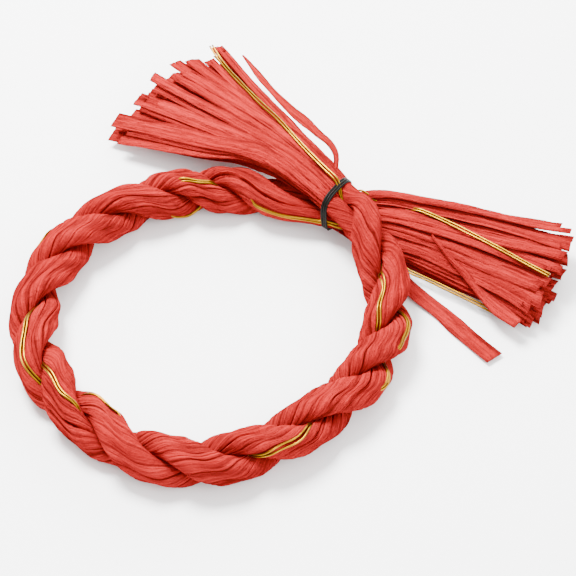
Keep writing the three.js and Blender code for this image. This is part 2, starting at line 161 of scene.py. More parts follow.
# The tassels: headings of their near and far sides in plan, length, thickness in layers, whether they lie over the
# stretch of rope that they cross or under it, and heights of both sides and of the stack by share of length. The dip
# is a furrow along the tassel; sides count from -1 for the near one to 1 for the far one.
tassels = {
    "right": {
        "near": -37.4, "far": -8.6, "length": 90, "layers": 11, "over": False, "crossed": (2, 60),
        "dip": 3.0, "dip_side": 0.42, "near_lean": 38, "heading_scatter": 1.3, "length_scatter": 0.04,
        "near_height": [(0, 0), (0.18, -3.2), (0.4, -2.8), (1, -2.5)],
        "far_height": [(0, 0), (0.08, 2), (0.2, 6.4), (0.35, 7.4), (1, 4.4)],
        "stack": [(0, 0.5), (0.07, 0.6), (0.15, 0.7), (0.3, 1.0), (1, 1.5)],
    },
    "left": {
        "near": 154.5, "far": 118.5, "length": 96, "layers": 10, "over": True, "crossed": (-90, -2),
        "dip": 1.0, "dip_side": 0.78, "near_lean": 25, "heading_scatter": 2.4, "length_scatter": 0.07,
        "near_height": [(0, 0), (0.15, 2.2), (0.5, 1.2), (1, -8)],
        "far_height": [(0, 0), (0.15, 1.6), (0.5, 0.5), (1, -6)],
        "stack": [(0, 0.52), (0.07, 0.64), (0.15, 0.7), (0.3, 0.95), (1, 1.3)],
    },
}

# How their ribbons lie on one another and leave the root, and how each one sways
layer_pitch = [(0, 0.5), (0.1, 0.6), (0.3, 0.85), (0.6, 1.1), (1, 1.25)]
rest_gap = 0.4
gold_room = 1.3
lay_room = 1.2
far_lean = 14
dip_reach = 0.13
stack_rounding = 0.38
lower_layers = 0.8
under_layers = 0.82
root_spread = (0.4, 6.4)
root_back = 2.2
width_share = (0.88, 0.3)
bend_share = 0.32
bend_spread = (1.2, 2.2)
ribbon_lowest = 0.35
ribbon_floor = 0.08
ribbon_root_halves = (1.3, 1.6)
ribbon_sway = 0.9
ribbon_bob = 0.5

# The section of a cut ribbon: points across each face, its folds' places by half width, and heights
face_points = 13
fold_place = {"wander": 0.45, "scatter": 0.2}
fold_height = {"mean": 0.38, "scatter": 0.26}
second_fold = {"away": 0.75, "height": 0.3, "half": 0.3}
pleat_height = {"gathered": 0.6, "free": 0.15, "wander": 0.12}
line_depth = 0.22
body_thinning = 0.72
ripple_height = 0.1
cut_slant = 0.3
mouth_share, throat_share = 0.9, 0.8

# Where the gold pairs run out over the tassels, in plan from the ring's centre
gold_routes = {
    "left": [
        [(51.1, 55.1), (49.5, 57.3), (44.6, 63.3), (39.6, 70), (34.6, 77.3), (29.6, 85.5), (24.2, 94.6), (18.6, 103.5),
         (13.1, 112.6), (7.6, 122.2), (2.3, 132.2), (-1.6, 139.3)],
        None,
    ],
    "right": [
        [(61, 40.8), (76.9, 27), (85.2, 21.9), (94.4, 16), (103.8, 9.8), (111.6, 4.2)],
        [(60.6, 56.4), (67.6, 53), (75, 49.6), (80.9, 46.6), (92.2, 39.9), (103.1, 32.1), (113.8, 24.3), (124.2, 16.5),
         (129.6, 12.6)],
    ],
}

# Their heights: along the near edge, elsewhere over the ribbons, with one dip on the right beside the rope
gold_edge_height = 3.8
tail_steps = 90
tail_first = 3
tail_rise = 0.35
tail_ranks = (60, 40)
tail_window = 9
tail_dip, tail_dip_end, tail_dip_ease = 4, 0.24, 0.12
gold_over_tie = (52.7, 52.4, 19.8)

# The routes of single ribbons, from the ring's centre
bowed_route = [
    (49.8, 60, 17), (49.4, 66, 20.5), (49.6, 71.5, 22.3), (47.4, 77.3, 22.7), (43.3, 82.3, 22.2), (38, 89.8, 21),
    (31.3, 98.8, 19.5), (24.5, 109.9, 18), (17.6, 123.5, 16), (11.8, 136.5, 14),
]
crossing_route = [
    (86, 34.5), (90.7, 27.8), (96.1, 20.9), (103.3, 11.7), (109.5, 4.3), (114.7, -0.7), (117.5, -3.4),
]
loose_route = [(-20, 63.5, 4.4), (-24.5, 58.5, 2.4), (-27.1, 55.3, 1.6), (-29.8, 51.2, 1.1)]
floor_route = [(69, 27, 11), (73, 22.5, 6.5), (79.5, 16.6, 2.6), (88.8, 8, 1.2), (99, -3.5, 0.9), (108.5, -14.5, 1.3)]

# The ribbons that stray: piece, node, route, seed, roll, lean, and half width by share of length.
# One bows out beside the left tassel, one lies on the floor past the front rope, one short end hangs out of the
# rope, and one crosses over the right tassel, at the height of what it lies on.
strays = [
    ("bowed_ribbon", "straw_strand_2", bowed_route, 201, 16, 0,
     [(0, 1.0), (0.1, 1.0), (0.25, 1.7), (0.4, 2.3), (0.6, 2.1), (0.85, 1.5), (1, 0.5)]),
    ("floor_ribbon", "straw_strand_1", floor_route, 204, 3, 0, [(0, 2.4), (0.3, 3.4), (1, 3.8)]),
    ("loose_end", "straw_strand_2", loose_route, 209, 5, 0, [(0, 1.2), (0.3, 1.5), (1, 0.6)]),
    ("crossing_ribbon", "straw_strand_1", crossing_route, 207, 3, 9, [(0, 0.5), (0.5, 1.7), (0.8, 3.0), (1, 2.6)]),
]
stray_steps = 80
crossing_rise = 0.9

# The binding wire: its turns, the room between it and the rope, and its two ends twisted together
wire_heading = -35
wire_turns = 3
wire_pitch = 1.0
wire_steps = 72
wire_squareness = 3.2
wire_room = (0.35, 0.45)
wire_sides = 12
wire_slack = {"shift": 0.18, "radius": 0.12}
twist_turns = 3.5
twist_steps = 60
twist_drop = 0.35
twist_span = (1.5, 7.5)
twist_join = 0.8

# The camera: what it looks at in plan from the ring's centre, its rise, distance, focal length and picture width
camera_target = (30.5, 21.2)
camera_elevation = 50
camera_distance = 830
focal_pixels, picture_pixels, sensor_width = 2139, 576, 36

# The lights: place and width in metres, and power as a share of the key light's
lights = [
    ("key_light", (-0.35, 0.4, 1.0), 0.5, 1.15),
    ("fill_light", (0.6, -0.7, 0.8), 0.9, 0.28),
    ("rim_light", (0.35, 0.9, 0.6), 0.7, 0.35),
]

# The sky's strength, from the level upwards, and the floor's half width in metres
sky_rise, sky_base = 2.3, 0.3
floor_half = 3.0
floor_white = 0.95


def ring_sizes():
    """The sizes and colours set in the panel."""
    return bpy.context.scene.straw_ring_sizes


def smooth(share):
    """An eased step from 0 to 1."""
    t = np.clip(share, 0, 1)
    return t * t * (3 - 2 * t)


def scatter(index, salt):
    """An even, repeatable spread of values from -1 to 1."""
    return ((np.asarray(index) * golden_share + salt * salt_step) % 1) * 2 - 1


def through(pairs, at):
    """A smooth curve through given pairs."""
    x, y = np.array(pairs, float).T
    last = len(x) - 1
    at = np.clip(np.asarray(at, float), x[0], x[-1])
    i = np.clip(np.searchsorted(x, at, side="left") - 1, 0, last - 1)
    before, after = np.maximum(np.arange(last + 1) - 1, 0), np.minimum(np.arange(last + 1) + 1, last)
    slope = (y[after] - y[before]) / (x[after] - x[before])
    span = x[i + 1] - x[i]
    t = (at - x[i]) / span
    rise = y[i + 1] - y[i]
    bend = (slope[i] * span - rise) * (1 - t) - (slope[i + 1] * span - rise) * t
    return y[i] + t * rise + t * (1 - t) * bend


def ring_line():
    """The rope's middle line: travel, points and plan length, finely sampled."""
    travel = np.linspace(0, 360, 3601)
    radius = ring_radius + through(ring_stray, travel)
    angle = np.radians(tie_angle - travel)
    height = rope_height + crossing_lift * through(climb, travel) - crossing_sink * smooth((travel - 325) / 35)
    points = np.stack([radius * np.cos(angle), radius * np.sin(angle), height], 1)
    steps = np.hypot(*np.diff(points[:, :2], axis=0).T)
    return travel, points, np.concatenate([[0], np.cumsum(steps)])


line_travel, line_points, line_run = ring_line()
rope_length = line_run[-1]
line_tangents = np.gradient(line_points[:, :2], line_run, axis=0)
line_tangents /= np.linalg.norm(line_tangents, axis=1)[:, None]


class Frames:
    """The rope's frame at each of a list of lengths along it: middle, along, outward and travel."""

    def __init__(self, run):
        run = np.atleast_1d(np.asarray(run, float))
        inside = np.clip(run, 0, rope_length)
        self.run = run
        self.travel = np.interp(inside, line_run, line_travel)
        middle = np.stack([np.interp(inside, line_run, line_points[:, k]) for k in range(3)], 1)
        along = np.stack([np.interp(inside, line_run, line_tangents[:, k]) for k in range(2)], 1)
        along /= np.linalg.norm(along, axis=1)[:, None]
        self.along = np.column_stack([along, np.zeros(len(run))])
        self.outward = np.column_stack([-along[:, 1], along[:, 0], np.zeros(len(run))])
        self.middle = middle + self.along * (run - inside)[:, None]


def openness(run):
    """0 where the rope is bound at the tie, 1 where it has its full swell."""
    return smooth((np.minimum(run, rope_length - run) - bound_length) / swell_length)


def strand_section(run, strand):
    """The measures of one strand's section at each length along the rope."""
    share = openness(run)
    mixed = {k: bound_strand[k] + (open_strand[k] - bound_strand[k]) * share for k in open_strand}
    mixed["open"] = share
    mixed["nestle"] = nestling * share * (1 if strand == 0 else -1)
    return mixed


def lay_angle(run):
    """How far the lay has turned at each length."""
    free = np.clip((run - bound_length) / (rope_length - 2 * bound_length), 0, 1)
    return 270 - 360 * lay_turns * free + through(lay_lead, 360 * free)


def on_section(frames, angle, distance, start):
    """Points at an angle from straight up, turned towards the rope's outward side."""
    a = np.radians(angle)
    flat = frames.outward if np.ndim(angle) == 1 else frames.outward[:, None, :]
    base = start if np.ndim(angle) == 1 else start[:, None, :]
    return base + flat * (distance * np.sin(a))[..., None] + straight_up * (distance * np.cos(a))[..., None]


def skin_distance(section, direction):
    """From a strand's middle to its skin."""
    c, s = np.cos(np.radians(direction)), np.sin(np.radians(direction))
    m = section_roundness
    shape = {k: (v[:, None] if np.ndim(direction) == 2 else v) for k, v in section.items()}
    rounded = (np.abs(c / shape["depth"]) ** m + np.abs(s / shape["breadth"]) ** m) ** (-1 / m)
    inward = shape["offset"] - shape["parting"] + shape["nestle"] * smooth((-c - nestle_from) / (1 - nestle_from))
    clipped = np.minimum(rounded + np.maximum(shape["nestle"], 0), inward / np.maximum(-c, 1e-6))
    return np.where(c >= 0, rounded, clipped)


def waves(at, seed, longest, count=3):
    """A slow repeatable wander along the length, from -1 to 1."""
    total = np.zeros_like(at, dtype=float)
    for k in range(count):
        length = longest / (1 + 0.8 * k)
        phase = 2 * math.pi * ((seed * golden_share + k * wave_step) % 1)
        total += np.sin(2 * math.pi * at / length + phase) / (1 + k)
    return total / 1.6


def lattice(across, along, cells, seed):
    """Smooth repeatable noise from 0 to 1 on a grid that closes on itself after so many cells across."""
    i, j = np.floor(across).astype(int), np.floor(along).astype(int)
    u, v = smooth(across - i), smooth(along - j)

    def value(a, b):
        k = np.sin((a % cells) * 12.9898 + b * 78.233 + seed * 37.719) * 43758.5453
        return k - np.floor(k)

    low = value(i, j) + (value(i + 1, j) - value(i, j)) * u
    high = value(i, j + 1) + (value(i + 1, j + 1) - value(i, j + 1)) * u
    return low + (high - low) * v


def pleat_lines(noise, sharpness):
    """Thin meandering crease lines: 1 on a line, 0 away from it."""
    return (1 - np.abs(2 * noise - 1)) ** sharpness


def strand_place(strand, run):
    """One strand's frames, section, lay, middle line and gold fold at each length."""
    frames = Frames(run)
    section = strand_section(frames.run, strand)
    lay = lay_angle(frames.run) + 180 * strand
    centre = on_section(frames, lay, section["offset"], frames.middle)
    return frames, section, lay, centre, through(gold_turn[strand], frames.travel)


def ribbon_relief(strand, run, degrees, reach):
    """Height of the straw surface over the strand's plain section, how deep in a crease each point lies, and the
    painted shade along its pleat lines.

    The bundle is many ribbons that lie along the strand, each over or under its neighbours, with folds in each.
    """
    sizes = ring_sizes()
    ribbons = sizes.ribbons_per_strand
    run = run[:, None]
    relief = np.full(degrees.shape, skin_bare)
    for n in range(ribbons):
        salt = strand * 31 + n
        centre = 360 * (n + skin_place["scatter"] * scatter(n, 3 + strand)) / ribbons
        centre = centre + skin_place["wander"] * waves(run, salt + 0.3, 170, 2)
        half = skin_half["mean"] + skin_half["scatter"] * scatter(n, 5 + strand)
        half = half + skin_half["wander"] * waves(run, salt + 0.7, 90, 2)
        off = (degrees - centre + 180) % 360 - 180
        t = off / half
        level = skin_level * scatter(n, 7 + strand) + skin_level * waves(run, salt + 1.9, 110, 2)
        crown = skin_crown * np.clip(1 - t**10, 0, 1) ** 0.5
        fold_at = 0.5 * waves(run, salt + 2.3, 120, 2)
        fold = skin_fold["scatter"] * scatter(n, 11 + strand) + skin_fold["wander"] * waves(run, salt + 2.9, 80, 2)
        tent = 0.5 - np.abs(t - fold_at)
        second_at = -0.6 * waves(run, salt + 3.7, 75)
        second = np.maximum(0, 1 - np.abs(t - second_at) / 0.25) * waves(run, salt + 4.1, 60)
        tilt = skin_tilt * waves(run, salt + 4.9, 80, 2) * t
        height = level + crown + fold * tent + skin_second_fold * second + tilt - skin_lowered
        relief = np.maximum(relief, np.where(np.abs(t) < 1, height, skin_bare))
    drift = degrees / 360 + 0.03 * waves(run, strand + 0.4, 90)

    def noise(cells, pitch, seed):
        return lattice(drift * cells % cells, run / pitch, cells, seed + strand)

    coarse = pleat_lines(noise(*coarse_pleats[:3]), coarse_pleats[3])
    medium = pleat_lines(noise(*medium_pleats[:3]), medium_pleats[3])
    calm = 0.35 + 0.65 * noise(*calm_patches)
    relief = relief - calm * (pleat_depth["coarse"] * coarse + pleat_depth["medium"] * medium)
    relief = relief + pleat_depth["fine"] * (noise(*fine_pleats) - 0.5)
    # Painted shade along the coarse and medium pleat lines, weaker in calm patches
    lines = calm * np.maximum(pleat_line_shade["coarse"] * coarse**0.6, pleat_line_shade["medium"] * medium**0.7)
    creases = np.zeros_like(relief)
    for n in range(sizes.creases_per_strand):
        salt = 100 + strand * 57 + n
        place = 180 * scatter(n, 2.1 + strand) + crease_wander * waves(run, salt, 120, 2)
        middle = rope_length * (scatter(n * 7, 4.3 + strand) * 0.5 + 0.5)
        length = crease_length[0] + crease_length[1] * (scatter(n * 3, 1.7) * 0.5 + 0.5)
        width = (crease_half[0] + crease_half[1] * scatter(n, 9)) / np.maximum(reach, 2) * one_radian
        off = (degrees - place + 180) % 360 - 180
        there = np.exp(-(((run - middle) / length) ** 4))
        deep = crease_depth[0] + crease_depth[1] * scatter(n * 5, 6)
        creases = np.maximum(creases, deep * there * np.exp(-((off / width) ** 2)))
    return relief, creases, lines


def gold_covered(strand, travel):
    """How far the straws have closed over the gold: 0 where it shows, 1 where it is covered."""
    cover = np.ones_like(travel)
    for start, stop in gold_shown[strand]:
        opened = smooth((travel - start) / gold_cover_ease + 0.5)
        cover = np.minimum(cover, 1 - opened * smooth((stop - travel) / gold_cover_ease + 0.5))
    return cover


def rope_rings(strand):
    """The skin of one strand as rings of points, with its fibre coordinates and its painted shade in hollows and along
    pleat lines.
    """
    run = np.linspace(-root_length, rope_length + root_length, int(rope_length / skin_spacing))
    frames, section, lay, centre, fold = strand_place(strand, run)
    around = 360 * np.arange(skin_columns) / skin_columns
    angle = fold[:, None] + around[None, :]
    base = skin_distance(section, angle - lay[:, None])
    degrees = np.broadcast_to(around[None, :], angle.shape)
    relief, creases, lines = ribbon_relief(strand, run, degrees, base)
    seat_width = gold_seat_half / np.maximum(base, 2) * one_radian
    from_fold = (degrees + 180) % 360 - 180
    shown = 1 - gold_covered(strand, frames.travel)[:, None]
    seat = np.exp(-((from_fold / seat_width) ** 4)) * shown
    surface = (relief - skin_sunk) * (1 - seat) - gold_seat_depth * seat - creases
    swell = 0.35 + 0.65 * section["open"][:, None]
    around_mean = sum(np.roll(surface, k, 1) for k in range(-5, 6)) / 11
    hollow = around_mean - surface
    rings = on_section(frames, angle, base + surface * swell, centre)
    z = rings[..., 2]
    pressed = skin_floor + skin_floor_ease * np.exp((z - skin_floor - skin_floor_ease) / skin_floor_ease)
    rings[..., 2] = np.where(z < skin_floor + skin_floor_ease, pressed, z)
    fibre = np.stack([np.broadcast_to(run[:, None], angle.shape), degrees / one_radian * 6.0,
                      np.full_like(base, 3.0 * strand + 1)], -1)
    # Painted shade: darker in the hollows of the skin and along its pleat lines
    painted_shade = np.clip(np.maximum(hollow / 0.2 - 0.1, lines), 0, 1)
    return rings, fibre, painted_shade


def gold_seat(strand, run):
    """Where the gold pair lies at each length, and the directions across and out of its fold."""
    frames, section, lay, centre, fold = strand_place(strand, run)
    sunk = gold_cover * gold_covered(strand, frames.travel) + gold_sunk_at_tie * (1 - section["open"])
    seat = on_section(frames, fold, skin_distance(section, fold - lay) - sunk, centre)
    seat[:, 2] = np.maximum(seat[:, 2], gold_lowest)
    a = np.radians(fold)[:, None]
    out = frames.outward * np.sin(a) + straight_up * np.cos(a)
    across = frames.outward * np.cos(a) - straight_up * np.sin(a)
    return seat, across, out


def new_mesh(name, points, faces, fibre, painted_shade=None):
    """A mesh object in metres, placed in the part's frame, with smooth faces and its surface attributes."""
    mesh = bpy.data.meshes.new(name)
    mesh.from_pydata(((points + np.array(ring_centre)) * MM).tolist(), [], faces)
    mesh.polygons.foreach_set("use_smooth", np.ones(len(mesh.polygons), bool))
    layer = mesh.attributes.new("fibre", "FLOAT_VECTOR", "POINT")
    layer.data.foreach_set("vector", fibre.astype(np.float32).ravel())
    if painted_shade is not None:
        layer = mesh.attributes.new("painted_shade", "FLOAT", "POINT")
        layer.data.foreach_set("value", painted_shade.astype(np.float32).ravel())
    mesh.update()
    piece = bpy.data.objects.new(name, mesh)
    bpy.context.scene.collection.objects.link(piece)
    return piece


def tube_faces(rings, around):
    """Quads of a closed tube of rings, with a fan of triangles over each end."""
    i, j = np.meshgrid(np.arange(rings - 1), np.arange(around), indexing="ij")
    k = (j + 1) % around
    quads = np.stack([i * around + j, i * around + k, (i + 1) * around + k, (i + 1) * around + j], -1)
    last = (rings - 1) * around
    first_cap = [(a, 0, a + 1) for a in range(1, around - 1)]
    last_cap = [(last, last + a, last + a + 1) for a in range(1, around - 1)]
    return quads.reshape(-1, 4).tolist() + first_cap + last_cap


def facing_out(points, faces):
    """The faces of a closed tube, all turned over if they face inwards."""
    fans = np.array([(f[0], f[k], f[k + 1]) for f in faces for k in range(1, len(f) - 1)])
    a, b, c = points[fans.T]
    return [f[::-1] for f in faces] if (a * np.cross(b, c)).sum() < 0 else faces


def tubes_mesh(name, tubes):
    """One mesh of closed tubes, each given as rings of points, fibre coordinates and a painted shade in creases, or
    None.
    """
    points, faces, fibres, painted_shades = [], [], [], []
    start = 0
    for rings, fibre, painted_shade in tubes:
        flat = rings.reshape(-1, 3)
        made = facing_out(flat, tube_faces(len(rings), rings.shape[1]))
        faces += [tuple(k + start for k in f) for f in made]
        points.append(flat)
        fibres.append(fibre.reshape(-1, 3))
        if painted_shade is not None:
            painted_shades.append(painted_shade.ravel())
        start += len(flat)
    painted_shade = np.concatenate(painted_shades) if painted_shades else None
    return new_mesh(name, np.concatenate(points), faces, np.concatenate(fibres), painted_shade)


def run_length(line):
    """Distance along a line of points at each of them."""
    return np.concatenate([[0], np.cumsum(np.linalg.norm(np.diff(line, axis=0), axis=1))])


# Ribbons of the tassels

def rope_heights(points, tassel):
    """The height of the crossing rope's top or underside at plan points, or nothing where it isn't crossed."""
    near, far = (rope_length + r if tassel["over"] else r for r in tassel["crossed"])
    chosen = np.nonzero((line_run >= near) & (line_run <= far))[0][::6]
    gaps = np.hypot(*(points[:, None, k] - line_points[None, chosen, k] for k in (0, 1)))
    nearest = gaps.argmin(1)
    away = gaps[np.arange(len(points)), nearest]
    run = line_run[chosen][nearest]
    section = strand_section(run, 0)
    lay = np.radians(lay_angle(run))
    c, s = np.abs(np.cos(lay)), np.abs(np.sin(lay))
    high = section["offset"] * c + np.hypot(section["depth"] * c, section["breadth"] * s) + lay_room * section["open"]
    wide = section["offset"] * s + np.hypot(section["depth"] * s, section["breadth"] * c) + lay_room
    height = high * np.sqrt(np.clip(1 - (away / wide) ** 2, 0, 1))
    middle = line_points[chosen][nearest, 2]
    return away < wide, middle + height, middle - height


def softened(values, passes):
    """Values smoothed along their row, with the two ends held."""
    for _ in range(passes):
        values = np.concatenate([[values[0]], (values[:-2] + 2 * values[1:-1] + values[2:]) / 4, [values[-1]]])
    return values


class Ribbon:
    """The middle line of one cut ribbon, with its half width, roll and directions by share of its length."""

    def __init__(self, plan, height, tassel, level, width, seed, roll=8.0, lean=0.0):
        share = np.concatenate([np.linspace(0, 0.3, 13)[:-1], np.linspace(0.3, 1, 25)])
        self.share = share
        self.seed = seed
        places = plan(share)
        ahead = np.gradient(places, share, axis=0)
        distance = np.linalg.norm(ahead, axis=1).mean()
        ahead /= np.linalg.norm(ahead, axis=1)[:, None]
        flat = np.column_stack([-ahead[:, 1], ahead[:, 0]])
        run = share * distance
        sway = ribbon_sway * waves(run, seed + 0.1, 110) * smooth(share * 1.6)
        places = places + flat * sway[:, None]
        self.half = np.interp(share, [0, 0.1, 0.4, 1], [*ribbon_root_halves, width / 2, width / 2])
        z = height(share)
        thick = through(layer_pitch, share) * tassel["layers"] if tassel else 0
        if tassel:
            for k in (-1, 0, 1):
                crossed, top, under = rope_heights(places + flat * (k * (self.half[:, None] + 1)), tassel)
                if tassel["over"]:
                    held = np.maximum(z, top + rest_gap + thick * level * lower_layers)
                else:
                    held = np.minimum(z, under - rest_gap - gold_room - thick * (1 - level) * under_layers)
                z = np.where(crossed, held, z)
        turn = scatter(seed, 4) + 0.6 * waves(run, seed, 60)
        self.roll = np.radians((roll * turn + lean) * smooth((share - 0.05) / 0.35))
        z = softened(z, 12) + ribbon_bob * waves(run, seed + 0.6, 70) * smooth(share * 1.6)
        lowest = np.sin(np.abs(self.roll)) * self.half + ribbon_lowest + thick * level * lower_layers
        z = softened(np.maximum(z, lowest), 4)
        self.flat = np.column_stack([flat, np.zeros(len(share))])
        self.line = np.column_stack([places, z])
        rise = np.gradient(self.line, axis=0)
        self.ahead = rise / np.linalg.norm(rise, axis=1)[:, None]


def bow(root, bend, tip):
    """A plan curve from the root to the tip, drawn towards the bend."""
    root, bend, tip = (np.asarray(p, float) for p in (root, bend, tip))
    return lambda share: (
        root * ((1 - share) ** 2)[:, None] + bend * (2 * share * (1 - share))[:, None] + tip * (share**2)[:, None]
    )


def towards(start, heading, distance):
    """The plan point at a heading and distance from a start."""
    a = math.radians(heading)
    return np.array([start[0] + distance * math.cos(a), start[1] + distance * math.sin(a)])


def ribbon_rings(ribbon, thickness):
    """Rings of points round a creased, flattened paper tube, open at its cut end like a folded straw."""
    top = np.linspace(-1, 1, face_points)
    share = ribbon.share
    seed = ribbon.seed
    length = run_length(ribbon.line)
    run = length[:, None]
    half = ribbon.half * (1 + 0.07 * waves(length, seed + 0.2, 40))
    gathered = 1 - smooth((share - 0.05) / 0.4)
    v = top[None, :]
    crease_at = fold_place["wander"] * waves(run, seed + 0.5, 130) + fold_place["scatter"] * scatter(seed, 2)
    sharp = fold_height["mean"] + fold_height["scatter"] * scatter(seed, 8)
    sharp *= 1 if scatter(seed, 12) > -0.3 else -1
    main = sharp * (0.5 - np.abs(v - crease_at)) * (1 - 0.3 * gathered)[:, None]
    second_at = crease_at - second_fold["away"] * np.sign(crease_at + 0.001)
    second = second_fold["height"] * waves(run, seed + 0.9, 50)
    second = second * np.maximum(0, 1 - np.abs(v - second_at) / second_fold["half"])
    zigzag = np.abs(((v * (1.7 + 0.5 * scatter(seed, 14)) + 0.3 * scatter(seed, 6)) % 2) - 1) - 0.5
    pleats = pleat_height["gathered"] * gathered[:, None] + pleat_height["free"]
    pleats = (pleats + pleat_height["wander"] * waves(run, seed + 1.7, 45)) * zigzag
    lines = pleat_lines(lattice((v + 1) * 4, run / 13, 50, seed + 0.5), 4)
    shape = main + second + pleats - line_depth * lines
    body = thickness * (1 - body_thinning * v * v)
    ripple = ripple_height * waves(run + 5 * v, seed + 1.3, 16)
    lower = (shape - body / 2 + 0.6 * ripple)[:, ::-1]
    lift = np.concatenate([shape + body / 2 + ripple, lower], 1)
    rim = np.concatenate([top, top[::-1]])
    side = rim * half[:, None]
    c, s = np.cos(ribbon.roll)[:, None], np.sin(ribbon.roll)[:, None]
    out = np.cross(ribbon.ahead, ribbon.flat)
    out *= np.sign(out[:, 2:3])
    along_flat = (side * c - lift * s)[..., None] * ribbon.flat[:, None, :]
    along_out = (side * s + lift * c)[..., None] * out[:, None, :]
    rings = ribbon.line[:, None, :] + along_flat + along_out
    slant = cut_slant * scatter(seed, 15) * side[-1]
    rings[-1] += slant[:, None] * ribbon.ahead[-1]
    fibre = np.stack([np.broadcast_to(run, side.shape) + 37 * seed, side, np.full_like(side, seed)], -1)
    surface = np.concatenate([shape, -shape[:, ::-1]], 1)
    hollow = (np.roll(surface, 2, 1) + np.roll(surface, -2, 1)) / 2 - surface
    # Painted shade in the ribbon's creases and along both its edges
    edge = 0.55 * smooth((np.abs(rim) - 0.8) / 0.2)
    painted_shade = np.maximum(np.clip(hollow / 0.4, 0, 0.8), edge[None, :])
    mouth = rings[-1] * mouth_share + rings[-1].mean(0) * (1 - mouth_share)
    throat = rings[-2] * throat_share + rings[-2].mean(0) * (1 - throat_share)
    rings = np.concatenate([rings, [mouth], [throat]])
    fibre = np.concatenate([fibre, fibre[-1:], fibre[-2:-1]])
    # The throat inside the open cut end is painted in full shade
    painted_shade = np.concatenate([painted_shade, painted_shade[-1:], np.ones_like(painted_shade[-1:])])
    rings[..., 2] = np.maximum(rings[..., 2], ribbon_floor)
    return rings, fibre, painted_shade


def tassel_ribbons(name, strand):
    """The ribbons of one tassel that run on from one strand."""
    sizes = ring_sizes()
    tassel = tassels[name]
    left = name == "left"
    frames = Frames([0.0 if left else rope_length])
    out = -1 if left else 1
    middle, along, outward = frames.middle[0], frames.along[0], frames.outward[0]
    sign = -1 if strand == 0 else 1
    count = sizes.ribbons_per_half_tassel
    ribbons = []
    for i in range(count):
        level = (i + 0.5) / count
        column = (i * golden_share + 0.31 * strand + 0.17) % 1
        side = sign * (0.02 + 0.98 * column)
        heading = tassel["near"] + (tassel["far"] - tassel["near"]) * (side + 1) / 2
        heading += tassel["heading_scatter"] * scatter(i * 5, 21 + strand)
        reach = tassel["length"] * (1 + tassel["length_scatter"] * scatter(i * 3, strand + 1 + 2 * left))
        width = sizes.ribbon_width / MM * (width_share[0] + width_share[1] * scatter(i, 9 + strand))
        start = middle + outward * (sign * (root_spread[0] + root_spread[1] * column)) - along * (out * root_back)
        tip = towards(middle, heading, reach)
        sideways = side * bend_spread[0] + bend_spread[1] * scatter(i * 7, 5 + strand)
        bend = start + along * (out * reach * bend_share) + outward * sideways
        stacked = (level - 0.5) * tassel["layers"] * (1 - stack_rounding * side * side)
        lean = tassel["near_lean"] * float(smooth((-side - 0.1) / 0.9)) - far_lean * float(smooth((side - 0.3) / 0.7))

        def height(share):
            rise = through(tassel["near_height"], share) * (1 - side) / 2
            rise = rise + through(tassel["far_height"], share) * (1 + side) / 2
            dip = tassel["dip"] * math.exp(-(((side - tassel["dip_side"]) / dip_reach) ** 2)) * smooth(share * 4)
            return middle[2] + rise - dip + stacked * through(tassel["stack"], share)

        seed = i + 40 * strand + 90 * left
        plan = bow(start[:2], bend[:2], tip)
        ribbons.append(Ribbon(plan, height, tassel, level, width, seed, lean=-lean if left else lean))
    return ribbons


def stray_ribbons():
    """The ribbons that stray, with the names of their pieces and nodes."""
    width = ring_sizes().ribbon_width / MM
    places = np.linspace(0, 1, stray_steps)
    laid = [r for strand in (0, 1) for r in tassel_ribbons("right", strand)]
    for name, node, points, seed, roll, lean, halves in strays:
        line = route(points, stray_steps)
        if line.shape[1] == 2:
            tops = heap_tops(line, laid)
            held = np.isfinite(tops)
            tops = np.interp(places, places[held], tops[held])
            line = np.column_stack([line, softened(tops, 12) + crossing_rise])

        def plan(share):
            return np.stack([np.interp(share, places, line[:, k]) for k in (0, 1)], 1)

        def height(share):
            return np.interp(share, places, line[:, 2])

        ribbon = Ribbon(plan, height, None, 0, width, seed, roll=roll, lean=lean)
        ribbon.half = np.interp(ribbon.share, *zip(*halves))
        yield name, node, ribbon


def heap_tops(points, ribbons):
    """The top of the highest ribbon under each plan point, or minus infinity where there is none."""
    tops = np.full(len(points), -np.inf)
    for ribbon in ribbons:
        gaps = np.hypot(*(points[:, None, k] - ribbon.line[None, :, k] for k in (0, 1)))
        near = gaps.argmin(1)
        covered = gaps.min(1) < ribbon.half[near] + 0.6
        tops = np.where(covered, np.maximum(tops, ribbon.line[near, 2] + 0.7), tops)
    return tops


# Gold threads and the wire

def thread_tubes(lines, sides):
    """Round threads as tubes, from lines of points with a radius and a direction out of the line at each point."""
    tubes = []
    for index, (line, radius, out) in enumerate(lines):
        ahead = np.gradient(line, axis=0)
        ahead /= np.linalg.norm(ahead, axis=1)[:, None]
        side = np.cross(ahead, out)
        side /= np.linalg.norm(side, axis=1)[:, None]
        up = np.cross(side, ahead)
        a = 2 * math.pi * np.arange(sides) / sides
        spread = np.cos(a)[None, :, None] * side[:, None, :] + np.sin(a)[None, :, None] * up[:, None, :]
        radius = np.broadcast_to(np.asarray(radius, float), (len(line),))
        rings = line[:, None, :] + spread * radius[:, None, None]
        # Round each thread from -1 to 1, highest on its out side; the gold's painted shade is drawn from this
        around = np.broadcast_to(np.sin(a), (len(line), sides))
        run = np.broadcast_to(run_length(line)[:, None], around.shape)
        tubes.append((rings, np.stack([run, around, np.full(around.shape, index + 1.0)], -1), None))
    return tubes


def route(points, count):
    """Evenly shared points along a smooth line through given ones."""
    points = np.asarray(points, float)
    share = run_length(points)
    share /= share[-1]
    return np.stack([through(list(zip(share, column)), np.linspace(0, 1, count)) for column in points.T], 1)


